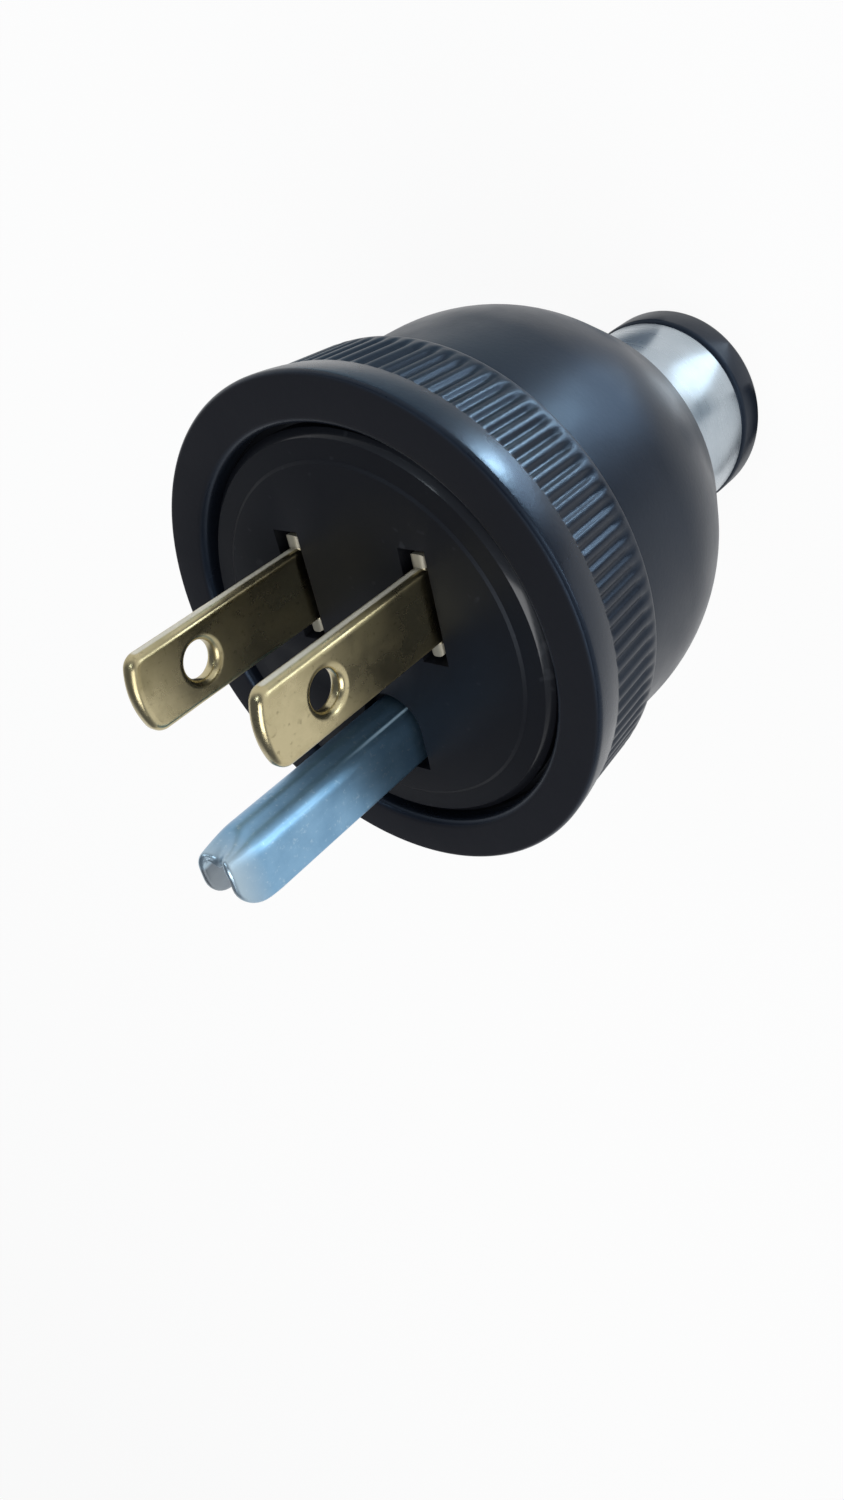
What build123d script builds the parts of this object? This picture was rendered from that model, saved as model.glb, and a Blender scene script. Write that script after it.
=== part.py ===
from build123d import *
import os
from math import sqrt

# A round rewirable three-pin plug: two flat blades and a folded U-shaped ground pin.
# It stands on the end of its neck with the pins up. X runs across the two blades,
# Y from the ground pin towards the blades, Z along the pins. The origin is the
# centre of the neck's end. All sizes are in millimetres.

# Cover: one soft moulding with rim, ribbed grip band, dome, neck and end flange
body_length = 51.2
rim_radius = 21.4
rim_edge_bevel = 0.4
mouth_bevel = 0.6
smooth_band_length = 3.8
smooth_band_radius = 20.55
band_front_radius = 20.85
band_back_radius = 20.4
band_end_bevel = 0.6
rib_length = 6.7
rib_count = 104
rib_depth = 0.28
rib_groove_width = 0.8
dome_radius = 19.3
dome_shoulder_height = 32.9
dome_cone_height = 23.7
dome_foot_round = 5.5
cover_wall = 3.3
chamber_waist_height = 23.2
chamber_foot_rise = 1.3
neck_radius = 8.7
flange_radius = 9.75
flange_length = 3.6
flange_bevel = 0.6
cord_bore_radius = 5.25
lip_thickness = 2.2

# Neck ring: a plain metal sleeve between the end flange and the dome
ring_wall = 0.8
ring_length = 13.2
ring_edge_bevel = 0.15

# Core: the insulating block that carries the pins
face_drop = 0.35
face_radius = 16.95
face_gap = 0.5
face_edge_bevel = 0.6
face_plateau_radius = 14.5
face_step = 0.18
face_step_width = 0.25
core_thickness = 8.15
core_radius = 16.4
core_flange_radius = 18.35
core_flange_thickness = 1.6
barrier_height = 4.6
barrier_thickness = 1.6
barrier_inset = 0.3
barrier_angles = (90, 215, 325)

# Blades: flat strip with shoulders seated in the core and a terminal tab bent outwards
blade_spacing = 12.7
blade_line = 3.8
blade_width = 6.35
blade_thickness = 1.5
blade_length = 18.2
blade_tip_rise = 0.8
blade_tip_corner = 1.3
blade_edge_bevel = 0.3
blade_hole_radius = 1.5
blade_hole_height = 11.9
blade_hole_sink = 0.28
shoulder_width = 8.6
shoulder_drop = 0.35
shoulder_length = 2.0
strip_bend_radius = 0.6
tab_length = 7.6
tab_corner = 1.5

# Ground pin: sheet folded to a U, closed side towards the blades
ground_spacing = 11.9
ground_width = 4.8
ground_depth = 5.6
ground_sheet = 0.8
ground_length = 21.2
ground_nose_width = 3.7
ground_nose_drop = 0.35
ground_nose_length = 3.6
ground_crest_round = 0.6
ground_leg_round = 2.4
ground_notch_radius = 1.2
ground_notch_depth = 1.0
ground_tab_width = 6.2
ground_tab_length = 9.2

# Terminal screws and wire washers
screw_radius = 1.7
screw_length = 5.6
screw_head_radius = 3.4
screw_head_height = 2.0
screw_crown = 0.8
screw_crown_flat = 2.2
screw_slot_width = 0.8
screw_slot_depth = 0.9
washer_radius = 3.7
washer_thickness = 0.7
blade_screw_offset = 4.3
ground_screw_offset = 6.4

# Clearances
core_clearance = 0.2
snap_clearance = 0.1
ring_clearance = 0.05
slot_clearance = 0.12
shoulder_clearance = 0.5
ground_clearance = 0.1
ground_recess_clearance = 0.65
ground_recess_depth = 1.6
thread_clearance = 0.06
screw_tip_clearance = 0.5
bend_clearance = 0.15

# Working values for cutting past a face and for picking edges by place
cut_overrun = 1.0
groove_overrun = 0.08
match_tolerance = 1e-6

# Heights and places worked out from the sizes above
ribs_front = body_length - smooth_band_length
ribs_back = ribs_front - rib_length
dome_foot = flange_length + ring_length + 2 * ring_clearance
snap_top = body_length - lip_thickness
snap_bottom = snap_top - core_flange_thickness - 2 * snap_clearance
core_face = body_length - face_drop
core_floor = core_face - core_thickness
barrier_end = core_floor - barrier_height
core_bore_radius = core_radius + core_clearance
mouth_radius = face_radius + face_gap
ground_line = blade_line - ground_spacing
blade_x = blade_spacing / 2
blade_inner = blade_x - blade_thickness / 2
blade_outer = blade_x + blade_thickness / 2
shoulder_top = core_face - shoulder_drop
shoulder_seat = shoulder_top - shoulder_length
crest_top = ground_line + ground_width / 2
leg_end = crest_top - ground_depth
screw_places = (
    (-blade_outer - blade_screw_offset, blade_line),
    (blade_outer + blade_screw_offset, blade_line),
    (0, crest_top - ground_screw_offset),
)

# One axial groove of the grip band, a shallow V that keeps its depth as the band tapers
with BuildPart() as rib_groove:
    groove_reach = rib_depth + groove_overrun
    groove_half = rib_groove_width / 2 * groove_reach / rib_depth
    with BuildSketch(Plane.XY.offset(ribs_front)):
        with Locations((band_front_radius - rib_depth, 0)):
            Polygon((0, 0), (groove_reach, -groove_half), (groove_reach, groove_half), align=None)
    band_slope = Vector(band_back_radius - band_front_radius, 0, -rib_length)
    extrude(amount=band_slope.length + cut_overrun, dir=band_slope.normalized())

# Cover, turned from one section
cone_drop = dome_shoulder_height - dome_cone_height
cone_radius = sqrt(dome_radius**2 - cone_drop**2)
dome_foot_radius = cone_radius - (dome_cone_height - dome_foot) * cone_drop / cone_radius
chamber_radius = dome_radius - cover_wall
waist_drop = dome_shoulder_height - chamber_waist_height
chamber_waist_radius = sqrt(chamber_radius**2 - waist_drop**2)
chamber_foot = dome_foot + chamber_foot_rise
ledge_height = barrier_end - snap_clearance

with BuildPart() as cover:
    with BuildSketch(Plane.XZ) as cover_section:
        with BuildLine():
            neck = Polyline(
                (cord_bore_radius, 0),
                (flange_radius, 0),
                (flange_radius, flange_length),
                (neck_radius, flange_length),
                (neck_radius, dome_foot),
                (dome_foot_radius, dome_foot),
                (cone_radius, dome_cone_height),
            )
            # A round shoulder about the plug's axis runs smoothly on from the cone
            dome = TangentArc((dome_radius, dome_shoulder_height), neck @ 1, tangent=(0, -1))
            Polyline(
                dome @ 0,
                (dome_radius, ribs_back),
                (band_back_radius, ribs_back),
                (band_front_radius, ribs_front),
                (smooth_band_radius, ribs_front),
                (rim_radius, body_length),
                (mouth_radius, body_length),
                (mouth_radius, snap_top),
                (core_flange_radius + snap_clearance, snap_top),
                (core_flange_radius + snap_clearance, snap_bottom),
                (core_bore_radius, snap_bottom),
                (core_bore_radius, ledge_height),
                (chamber_radius, ledge_height),
                (chamber_radius, dome_shoulder_height),
                (chamber_waist_radius, chamber_waist_height),
                (cord_bore_radius, chamber_foot),
                neck @ 0,
            )
        make_face()
        for radius, bevel in (
            (flange_radius, flange_bevel),
            (band_back_radius, band_end_bevel),
            (rim_radius, rim_edge_bevel),
        ):
            corners = cover_section.vertices()
            chamfer(corners.filter_by(lambda v: abs(v.X - radius) < match_tolerance), bevel)
        corners = cover_section.vertices()
        mouth_corners = corners.filter_by(lambda v: abs(v.X - mouth_radius) < match_tolerance)
        chamfer(mouth_corners.sort_by(Axis.Y)[-1], mouth_bevel)
        corners = cover_section.vertices()
        fillet(corners.filter_by(lambda v: abs(v.X - dome_foot_radius) < match_tolerance), dome_foot_round)
    revolve(axis=Axis.Z)
    # The grooves leave the ribs standing: square at the smooth band, run out in the bevel behind
    with PolarLocations(0, rib_count):
        add(rib_groove.part, mode=Mode.SUBTRACT)

# Neck ring, a plain sleeve with broken edges
with BuildPart() as neck_ring:
    with BuildSketch(Plane.XY.offset(flange_length + ring_clearance)):
        Circle(neck_radius + ring_clearance + ring_wall)
        Circle(neck_radius + ring_clearance, mode=Mode.SUBTRACT)
    extrude(amount=ring_length)
    chamfer(neck_ring.edges().filter_by(GeomType.CIRCLE).group_by(SortBy.RADIUS)[-1], ring_edge_bevel)

# Core: a turned block with a retaining flange, barriers behind, blade slots and a ground hole
with BuildPart() as core:
    with BuildSketch(Plane.XZ) as core_section:
        with BuildLine():
            Polyline(
                (0, core_floor),
                (core_radius, core_floor),
                (core_radius, snap_bottom + snap_clearance),
                (core_flange_radius, snap_bottom + snap_clearance),
                (core_flange_radius, snap_top - snap_clearance),
                (face_radius, snap_top - snap_clearance),
                (face_radius, core_face - face_step),
                (face_plateau_radius + face_step_width, core_face - face_step),
                (face_plateau_radius, core_face),
                (0, core_face),
                close=True,
            )
        make_face()
        rim_corner = core_section.vertices().filter_by(lambda v: abs(v.X - face_radius) < match_tolerance)
        chamfer(rim_corner.sort_by(Axis.Y)[-1], face_edge_bevel)
    revolve(axis=Axis.Z)
    with BuildSketch(Plane.XY.offset(core_floor)):
        Circle(barrier_thickness)
        for angle in barrier_angles:
            with PolarLocations(0, 1, start_angle=angle):
                Rectangle(core_radius - barrier_inset, barrier_thickness, align=(Align.MIN, Align.CENTER))
    extrude(amount=-barrier_height)
    # Each blade slot is wide at the face, where the shoulders sit, and close behind
    with BuildSketch(Plane.XY.offset(core_face)):
        with Locations((-blade_x, blade_line), (blade_x, blade_line)):
            Rectangle(blade_thickness + 2 * shoulder_clearance, shoulder_width + 2 * shoulder_clearance)
    extrude(amount=-(shoulder_drop + shoulder_length), mode=Mode.SUBTRACT)
    with BuildSketch(Plane.XY.offset(core_face)):
        with Locations((-blade_x, blade_line), (blade_x, blade_line)):
            Rectangle(blade_thickness + 2 * slot_clearance, blade_width + 2 * slot_clearance)
    extrude(amount=-core_thickness, mode=Mode.SUBTRACT)
    # Relief at the back edge of each slot for the inside of the strip's bend
    with BuildSketch(Plane.XY.offset(core_floor)):
        with Locations((-blade_outer, blade_line), (blade_outer, blade_line)):
            Rectangle(2 * (strip_bend_radius + bend_clearance), blade_width + 2 * slot_clearance)
    extrude(amount=strip_bend_radius + bend_clearance, mode=Mode.SUBTRACT)
    # Arched ground hole, open round the pin at the face
    for grow, depth in ((ground_recess_clearance, ground_recess_depth), (ground_clearance, core_thickness)):
        with BuildSketch(Plane.XY.offset(core_face)):
            with Locations((0, ground_line)):
                Circle(ground_width / 2 + grow)
                leg_slot = ground_line - leg_end + grow
                Rectangle(ground_width + 2 * grow, leg_slot, align=(Align.CENTER, Align.MAX))
        extrude(amount=-depth, mode=Mode.SUBTRACT)
    with BuildSketch(Plane.XY.offset(core_floor)):
        with Locations((0, crest_top + ground_clearance)):
            Rectangle(
                ground_width + 2 * ground_clearance,
                ground_sheet + strip_bend_radius + bend_clearance + ground_clearance,
                align=(Align.CENTER, Align.MAX),
            )
    extrude(amount=strip_bend_radius + bend_clearance, mode=Mode.SUBTRACT)
    # Blind holes that the screw tips run into
    with BuildSketch(Plane.XY.offset(core_floor)):
        with Locations(*screw_places):
            Circle(screw_radius + screw_tip_clearance)
    extrude(amount=screw_length - washer_thickness, mode=Mode.SUBTRACT)

# Blade: upright strip with a rounded tip, shoulders, a square bend and a terminal tab
with BuildPart() as neutral_blade:
    with BuildSketch(Plane.YZ.offset(blade_inner)) as strip:
        tip = core_face + blade_length
        strip_foot = core_floor + strip_bend_radius
        half_width = blade_width / 2
        with BuildLine():
            sides = Polyline(
                (blade_line - half_width, tip - blade_tip_rise),
                (blade_line - half_width, strip_foot),
                (blade_line + half_width, strip_foot),
                (blade_line + half_width, tip - blade_tip_rise),
            )
            ThreePointArc(sides @ 1, (blade_line, tip), sides @ 0)
        make_face()
        fillet(strip.vertices().group_by(Axis.Y)[-1], blade_tip_corner)
        with Locations((blade_line, (shoulder_top + shoulder_seat) / 2)):
            Rectangle(shoulder_width, shoulder_length)
    extrude(amount=blade_thickness)
    # Rolled edges round the part that enters the socket
    upper_edges = neutral_blade.edges().filter_by(lambda e: e.center().Z > shoulder_top + blade_edge_bevel)
    flat_edges = upper_edges.group_by(lambda e: round(e.center().X, 3))
    chamfer(flat_edges[0] + flat_edges[-1], blade_edge_bevel)
    # The hole that a locking socket's bumps drop into, eased on both sides
    with BuildSketch(Plane.YZ.offset(blade_inner)):
        with Locations((blade_line, core_face + blade_hole_height)):
            Circle(blade_hole_radius)
    extrude(amount=blade_thickness, mode=Mode.SUBTRACT)
    rounds = neutral_blade.edges().filter_by(GeomType.CIRCLE)
    hole_rims = rounds.filter_by(lambda e: abs(e.radius - blade_hole_radius) < match_tolerance)
    chamfer(hole_rims, blade_hole_sink)
    # Bend and tab, drawn as the strip's edge view
    with BuildSketch(Plane.XZ.offset(-(blade_line + half_width))):
        with BuildLine():
            bend_centre = (blade_outer + strip_bend_radius, strip_foot)
            inside = CenterArc(bend_centre, strip_bend_radius, 180, 90)
            outside = CenterArc(bend_centre, strip_bend_radius + blade_thickness, 180, 90)
            Line(inside @ 0, outside @ 0)
            tab_end = blade_outer + tab_length
            Polyline(
                inside @ 1,
                (tab_end, core_floor),
                (tab_end, core_floor - blade_thickness),
                outside @ 1,
            )
        make_face()
    extrude(amount=blade_width)
    fillet(neutral_blade.edges().filter_by(Axis.Z).group_by(Axis.X)[-1], tab_corner)
    with Locations(Plane.XY.offset(core_floor)):
        with Locations((blade_outer + blade_screw_offset, blade_line)):
            Hole(screw_radius + thread_clearance, blade_thickness)

with BuildPart() as live_blade:
    mirror(neutral_blade.part, about=Plane.YZ)

# Section of the folded pin: a U of even sheet, closed at the top
def draw_ground_section(width, top):
    inner_half = width / 2 - ground_sheet
    leg = top - width / 2 - leg_end
    with Locations((0, top - width / 2)):
        Circle(width / 2)
        Rectangle(width, leg, align=(Align.CENTER, Align.MAX))
        Circle(inner_half, mode=Mode.SUBTRACT)
        Rectangle(2 * inner_half, leg, align=(Align.CENTER, Align.MAX), mode=Mode.SUBTRACT)


# Ground pin: straight U drawn in at the nose, its closed side running on into a bent tab
with BuildPart() as ground_pin:
    ground_tip = core_face + ground_length
    ground_foot = core_floor + strip_bend_radius
    nose_foot = ground_tip - ground_nose_length
    with BuildSketch(Plane.XY.offset(ground_foot)):
        draw_ground_section(ground_width, crest_top)
    extrude(amount=nose_foot - ground_foot)
    with BuildSketch(Plane.XY.offset(nose_foot)):
        draw_ground_section(ground_width, crest_top)
    with BuildSketch(Plane.XY.offset(ground_tip)):
        draw_ground_section(ground_nose_width, crest_top - ground_nose_drop)
    loft()
    # From the side the nose is rounded, most at the ends of the legs
    with BuildSketch(Plane.YZ) as side_view:
        with Locations(((crest_top + leg_end) / 2, ground_foot)):
            Rectangle(ground_depth, ground_tip - ground_foot, align=(Align.CENTER, Align.MIN))
        nose_corners = side_view.vertices().group_by(Axis.Y)[-1].sort_by(Axis.X)
        fillet(nose_corners[0], ground_leg_round)
        fillet(nose_corners[-1], ground_crest_round)
    extrude(amount=ground_width, both=True, mode=Mode.INTERSECT)
    # A round notch in the crest leaves the two legs standing proud at the tip
    with BuildSketch(Plane.XZ.offset(-ground_line)):
        with Locations((0, ground_tip + ground_notch_radius - ground_notch_depth)):
            Circle(ground_notch_radius)
    extrude(amount=-ground_width, mode=Mode.SUBTRACT)
    # Flat tail from the closed side, bent under the legs
    tail_half = ground_width / 2 - ground_sheet
    with BuildSketch(Plane.YZ.offset(-tail_half)):
        with BuildLine():
            tail_centre = (crest_top - ground_sheet - strip_bend_radius, ground_foot)
            tail_inside = CenterArc(tail_centre, strip_bend_radius, 0, -90)
            tail_outside = CenterArc(tail_centre, strip_bend_radius + ground_sheet, 0, -90)
            Line(tail_inside @ 0, tail_outside @ 0)
            tail_end = crest_top - ground_tab_length
            Polyline(
                tail_inside @ 1,
                (tail_end, core_floor),
                (tail_end, core_floor - ground_sheet),
                tail_outside @ 1,
            )
        make_face()
    extrude(amount=2 * tail_half)
    with BuildSketch(Plane.XY.offset(core_floor - ground_sheet)) as tab:
        with Locations((0, tail_end)):
            Rectangle(ground_tab_width, ground_tab_width, align=(Align.CENTER, Align.MIN))
        fillet(tab.vertices(), tab_corner)
    extrude(amount=ground_sheet)
    with Locations(Plane.XY.offset(core_floor)):
        with Locations((0, crest_top - ground_screw_offset)):
            Hole(screw_radius + thread_clearance, ground_sheet)


# Terminal screw: slotted binding head with a low crown, plain shank
def make_screw(x, y, seat):
    head_seat = seat - washer_thickness
    head_end = head_seat - screw_head_height
    with BuildPart() as screw:
        with BuildSketch(Plane.XZ.offset(-y)):
            with BuildLine():
                Polyline(
                    (x, head_end),
                    (x + screw_crown_flat, head_end),
                    (x + screw_head_radius, head_end + screw_crown),
                    (x + screw_head_radius, head_seat),
                    (x + screw_radius, head_seat),
                    (x + screw_radius, head_seat + screw_length),
                    (x, head_seat + screw_length),
                    close=True,
                )
            make_face()
        revolve(axis=Axis((x, y, 0), (0, 0, 1)))
        with BuildSketch(Plane.XY.offset(head_end + screw_slot_depth)):
            with Locations((x, y)):
                Rectangle(screw_slot_width, 2 * screw_head_radius)
        extrude(amount=-screw_head_height, mode=Mode.SUBTRACT)
    return screw.part


# Wire washer between the screw head and the tab
def make_washer(x, y, seat):
    with BuildPart() as washer:
        with BuildSketch(Plane.XY.offset(seat - washer_thickness)):
            with Locations((x, y)):
                Circle(washer_radius)
                Circle(screw_radius + thread_clearance, mode=Mode.SUBTRACT)
        extrude(amount=washer_thickness)
    return washer.part


os.makedirs("parts", exist_ok=True)
cover.part.label = "cover"
export_step(cover.part, "parts/cover.step")
neck_ring.part.label = "neck_ring"
export_step(neck_ring.part, "parts/neck_ring.step")
core.part.label = "core"
export_step(core.part, "parts/core.step")
live_blade.part.label = "live_blade"
export_step(live_blade.part, "parts/live_blade.step")
neutral_blade.part.label = "neutral_blade"
export_step(neutral_blade.part, "parts/neutral_blade.step")
ground_pin.part.label = "ground_pin"
export_step(ground_pin.part, "parts/ground_pin.step")

tab_seats = (core_floor - blade_thickness, core_floor - blade_thickness, core_floor - ground_sheet)
for name, (x, y), seat in zip(("live", "neutral", "ground"), screw_places, tab_seats):
    screw = make_screw(x, y, seat)
    screw.label = f"{name}_screw"
    export_step(screw, f"parts/{name}_screw.step")
    washer = make_washer(x, y, seat)
    washer.label = f"{name}_washer"
    export_step(washer, f"parts/{name}_washer.step")
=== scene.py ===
from math import acos, asin, atan2, cos, degrees, exp, hypot, pi, radians, sin, sqrt

import bmesh
import bpy
from mathutils import Matrix, Vector


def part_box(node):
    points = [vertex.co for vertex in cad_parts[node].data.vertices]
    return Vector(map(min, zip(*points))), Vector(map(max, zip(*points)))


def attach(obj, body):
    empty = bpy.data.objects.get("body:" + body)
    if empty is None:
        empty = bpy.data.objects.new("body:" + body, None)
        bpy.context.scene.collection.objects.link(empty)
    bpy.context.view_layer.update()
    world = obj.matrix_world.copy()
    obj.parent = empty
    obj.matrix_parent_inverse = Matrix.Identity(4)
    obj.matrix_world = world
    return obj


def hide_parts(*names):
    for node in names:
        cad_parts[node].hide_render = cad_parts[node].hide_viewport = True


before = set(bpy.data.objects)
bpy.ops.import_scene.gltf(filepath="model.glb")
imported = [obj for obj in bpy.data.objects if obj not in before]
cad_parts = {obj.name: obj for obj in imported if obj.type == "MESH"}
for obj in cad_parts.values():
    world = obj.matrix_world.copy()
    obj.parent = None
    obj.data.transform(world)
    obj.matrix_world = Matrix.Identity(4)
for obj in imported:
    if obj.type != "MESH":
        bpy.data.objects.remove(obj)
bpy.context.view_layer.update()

# Cover: the black bell that the hand holds, one moulding of soft semi-gloss rubber.
# It is turned from one section with its rim, grip band, dome, neck and end flange,
# and the grooves of the grip band are then pressed in between the ribs.
mm = 0.001
weld_distance = 1e-7
cover_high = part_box("cover")[1]
ring_low, ring_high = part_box("neck_ring")
core_low, core_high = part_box("core")
core_play = 0.1 * mm
rim_height = cover_high.z
rim_radius = cover_high.x
rim_edge_round = 0.5 * mm
mouth_radius = 17.45 * mm
mouth_round = 0.75 * mm
lip_thickness = 2.2 * mm
lip_foot = rim_height - lip_thickness
snap_seat_drop = 4.0 * mm
snap_seat_foot = rim_height - snap_seat_drop
snap_seat_radius = core_high.x + core_play
core_bore_radius = 16.6 * mm
core_ledge = core_low.z - core_play
smooth_band_bow = 0.06 * mm
smooth_band_steps = (0.02, 0.125, 0.25, 0.375, 0.5, 0.625, 0.75, 0.875)
band_front_drop = 3.5 * mm
band_front = rim_height - band_front_drop
band_front_radius = 20.85 * mm
band_back_drop = 10.5 * mm
band_back = rim_height - band_back_drop
band_back_radius = 20.4 * mm
band_end_round = 0.6 * mm
rib_count = 104
rib_profile = (0.0, 0.04, 0.32, 0.9, 1.0, 0.9, 0.32, 0.04)
rib_depth = 0.27 * mm
groove_front_round = 0.4 * mm
groove_front_steps = (1.0, 0.7, 0.4, 0.2, 0.07, 0.0)
groove_run_out = 1.6 * mm
groove_run_out_steps = 6
dome_radius = 19.3 * mm
dome_shoulder = 32.9 * mm
dome_cone = 23.7 * mm
dome_foot_round = 5.5 * mm
cover_wall = 3.3 * mm
chamber_waist = 23.2 * mm
chamber_foot_rise = 1.3 * mm
ring_play = 0.05 * mm
dome_foot = ring_high.z + ring_play
neck_radius = 8.7 * mm
end_flange_radius = 9.75 * mm
end_flange_length = ring_low.z - ring_play
end_flange_round = 0.6 * mm
cord_bore_radius = 5.25 * mm
cover_crease = 38


def arc(centre, radius, start, end, steps):
    """Points of an arc in a section, from one angle in degrees to another."""
    turns = [radians(start + (end - start) * i / steps) for i in range(steps + 1)]
    return [(centre[0] + radius * cos(a), centre[1] + radius * sin(a)) for a in turns]


def face_outwards(bm):
    """Turns the faces of a closed shape outwards."""
    bmesh.ops.recalc_face_normals(bm, faces=bm.faces)
    if bm.calc_volume(signed=True) < 0:
        bmesh.ops.reverse_faces(bm, faces=bm.faces)


def turned(section, columns):
    """A closed section of radius and height, turned about the plug's axis."""
    bm = bmesh.new()
    ring = [bm.verts.new((r, 0, h)) for r, h in section]
    edges = [bm.edges.new((a, b)) for a, b in zip(ring, ring[1:] + ring[:1])]
    bmesh.ops.spin(
        bm, geom=ring + edges, cent=(0, 0, 0), axis=(0, 0, 1), angle=2 * pi, steps=columns, use_merge=True
    )
    bmesh.ops.remove_doubles(bm, verts=bm.verts, dist=weld_distance)
    face_outwards(bm)
    return bm


def add_piece(name, bm, material, node, crease):
    """Makes an object of a finished shape, smooth apart from its creases, in the place of a solid."""
    mesh = bpy.data.meshes.new(name)
    bm.to_mesh(mesh)
    bm.free()
    mesh.shade_smooth()
    mesh.set_sharp_from_angle(angle=radians(crease))
    mesh.materials.append(material)
    piece = bpy.data.objects.new(name, mesh)
    bpy.context.scene.collection.objects.link(piece)
    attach(piece, "root")
    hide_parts(node)


# The dome is a ball about the plug's axis that runs on into a cone and a rounded foot
cone_turn = asin((dome_shoulder - dome_cone) / dome_radius)
foot_height = dome_foot + dome_foot_round
foot_reach = dome_radius - dome_foot_round - sin(cone_turn) * (dome_shoulder - foot_height)
foot_centre = (foot_reach / cos(cone_turn), foot_height)
chamber_radius = dome_radius - cover_wall
chamber_waist_radius = sqrt(chamber_radius**2 - (dome_shoulder - chamber_waist) ** 2)
chamber_foot = dome_foot + chamber_foot_rise
rim_round_height = rim_height - rim_edge_round
rim_round_radius = rim_radius - rim_edge_round
band_rise = rim_round_height - band_front
flare = atan2(rim_radius - band_front_radius, band_rise) - atan2(4 * smooth_band_bow, band_rise)
rim_round = arc((rim_round_radius, rim_round_height), rim_edge_round, -degrees(flare), 90, steps=8)
flange_round_radius = end_flange_radius - end_flange_round
flange_round_height = end_flange_length - end_flange_round
band_end = band_back + band_end_round

cover_section = [(cord_bore_radius, 0)]
cover_section += arc((flange_round_radius, end_flange_round), end_flange_round, -90, 0, steps=6)
cover_section += arc((flange_round_radius, flange_round_height), end_flange_round, 0, 90, steps=6)
cover_section += [(neck_radius, end_flange_length), (neck_radius, dome_foot)]
cover_section += arc(foot_centre, dome_foot_round, -90, -degrees(cone_turn), steps=12)
cover_section += arc((0, dome_shoulder), dome_radius, -degrees(cone_turn), 0, steps=14)
cover_section += [(dome_radius, band_back)]
cover_section += arc((band_back_radius - band_end_round, band_end), band_end_round, -90, 0, steps=6)
# The grooves run out behind and end round in front
rib_heights = [
    band_end + groove_run_out * i / groove_run_out_steps for i in range(1, groove_run_out_steps + 1)
]
rib_heights += [band_front - groove_front_round * step for step in groove_front_steps]
for rib_height in rib_heights:
    forward = (rib_height - band_back) / (band_front - band_back)
    cover_section.append((band_back_radius + (band_front_radius - band_back_radius) * forward, rib_height))
# The smooth band before them is bowed a little and flares to the rim
for step in smooth_band_steps:
    radius = band_front_radius + (rim_round[0][0] - band_front_radius) * step
    radius += 4 * smooth_band_bow * step * (1 - step)
    cover_section.append((radius, band_front + (rim_round[0][1] - band_front) * step))
cover_section += rim_round
mouth_centre = (mouth_radius + mouth_round, rim_height - mouth_round)
cover_section += arc(mouth_centre, mouth_round, 90, 180, steps=6)
cover_section += [
    (mouth_radius, lip_foot),
    (snap_seat_radius, lip_foot),
    (snap_seat_radius, snap_seat_foot),
    (core_bore_radius, snap_seat_foot),
    (core_bore_radius, core_ledge),
    (chamber_radius, core_ledge),
    (chamber_radius, dome_shoulder),
    (chamber_waist_radius, chamber_waist),
    (cord_bore_radius, chamber_foot),
]

cover_columns = rib_count * len(rib_profile)
bell = turned(cover_section, cover_columns)
for vert in bell.verts:
    radius = hypot(vert.co.x, vert.co.y)
    behind = min(1.0, max(0.0, (vert.co.z - band_end) / groove_run_out))
    before = min(1.0, max(0.0, (band_front - vert.co.z) / groove_front_round))
    if radius > dome_radius and behind > 0 and before > 0:
        column = round(atan2(vert.co.y, vert.co.x) / (2 * pi / cover_columns)) % len(rib_profile)
        depth = rib_depth * behind * sqrt(1 - (1 - before) ** 2)
        vert.co.xy *= 1 - rib_profile[column] * depth / radius
# The middle of a groove lies on the X axis
groove_middle = rib_profile.index(1.0) * 2 * pi / cover_columns
bmesh.ops.rotate(bell, verts=bell.verts, cent=(0, 0, 0), matrix=Matrix.Rotation(-groove_middle, 3, "Z"))


def new_finish(name):
    """A material with its node tree and shader, and the piece's own coordinates."""
    material = bpy.data.materials.new(name)
    material.use_nodes = True
    tree = material.node_tree
    place = tree.nodes.new("ShaderNodeTexCoord").outputs["Object"]
    return material, tree, tree.nodes["Principled BSDF"], place


def by_axis(tree, place):
    """The X, Y and Z of a place on the piece, each by itself."""
    split = tree.nodes.new("ShaderNodeSeparateXYZ")
    tree.links.new(place, split.inputs["Vector"])
    return split.outputs


def arithmetic(tree, operation, *terms):
    """One step of arithmetic on values of other nodes and plain numbers."""
    step = tree.nodes.new("ShaderNodeMath")
    step.operation = operation
    for socket, term in zip(step.inputs, terms):
        if isinstance(term, bpy.types.NodeSocket):
            tree.links.new(term, socket)
        else:
            socket.default_value = term
    return step.outputs[0]


def spread(tree, value, low, high, to_low, to_high):
    """A value stretched from one range to another and held at its ends."""
    stretch = tree.nodes.new("ShaderNodeMapRange")
    tree.links.new(value, stretch.inputs["Value"])
    for label, number in (("From Min", low), ("From Max", high), ("To Min", to_low), ("To Max", to_high)):
        stretch.inputs[label].default_value = number
    return stretch.outputs["Result"]


def tint(tree, mask, first, second):
    """A colour that runs from the first to the second as the mask goes from 0 to 1."""
    mix = tree.nodes.new("ShaderNodeMix")
    mix.data_type = "RGBA"
    mix.inputs["A"].default_value = (*first, 1)
    mix.inputs["B"].default_value = (*second, 1)
    tree.links.new(mask, mix.inputs["Factor"])
    return mix.outputs["Result"]


def wash(tree, mask, under, over):
    """A colour that lies over another where the mask is 1."""
    mix = tree.nodes.new("ShaderNodeMix")
    mix.data_type = "RGBA"
    mix.inputs["B"].default_value = (*over, 1)
    tree.links.new(under, mix.inputs["A"])
    tree.links.new(mask, mix.inputs["Factor"])
    return mix.outputs["Result"]


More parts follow.
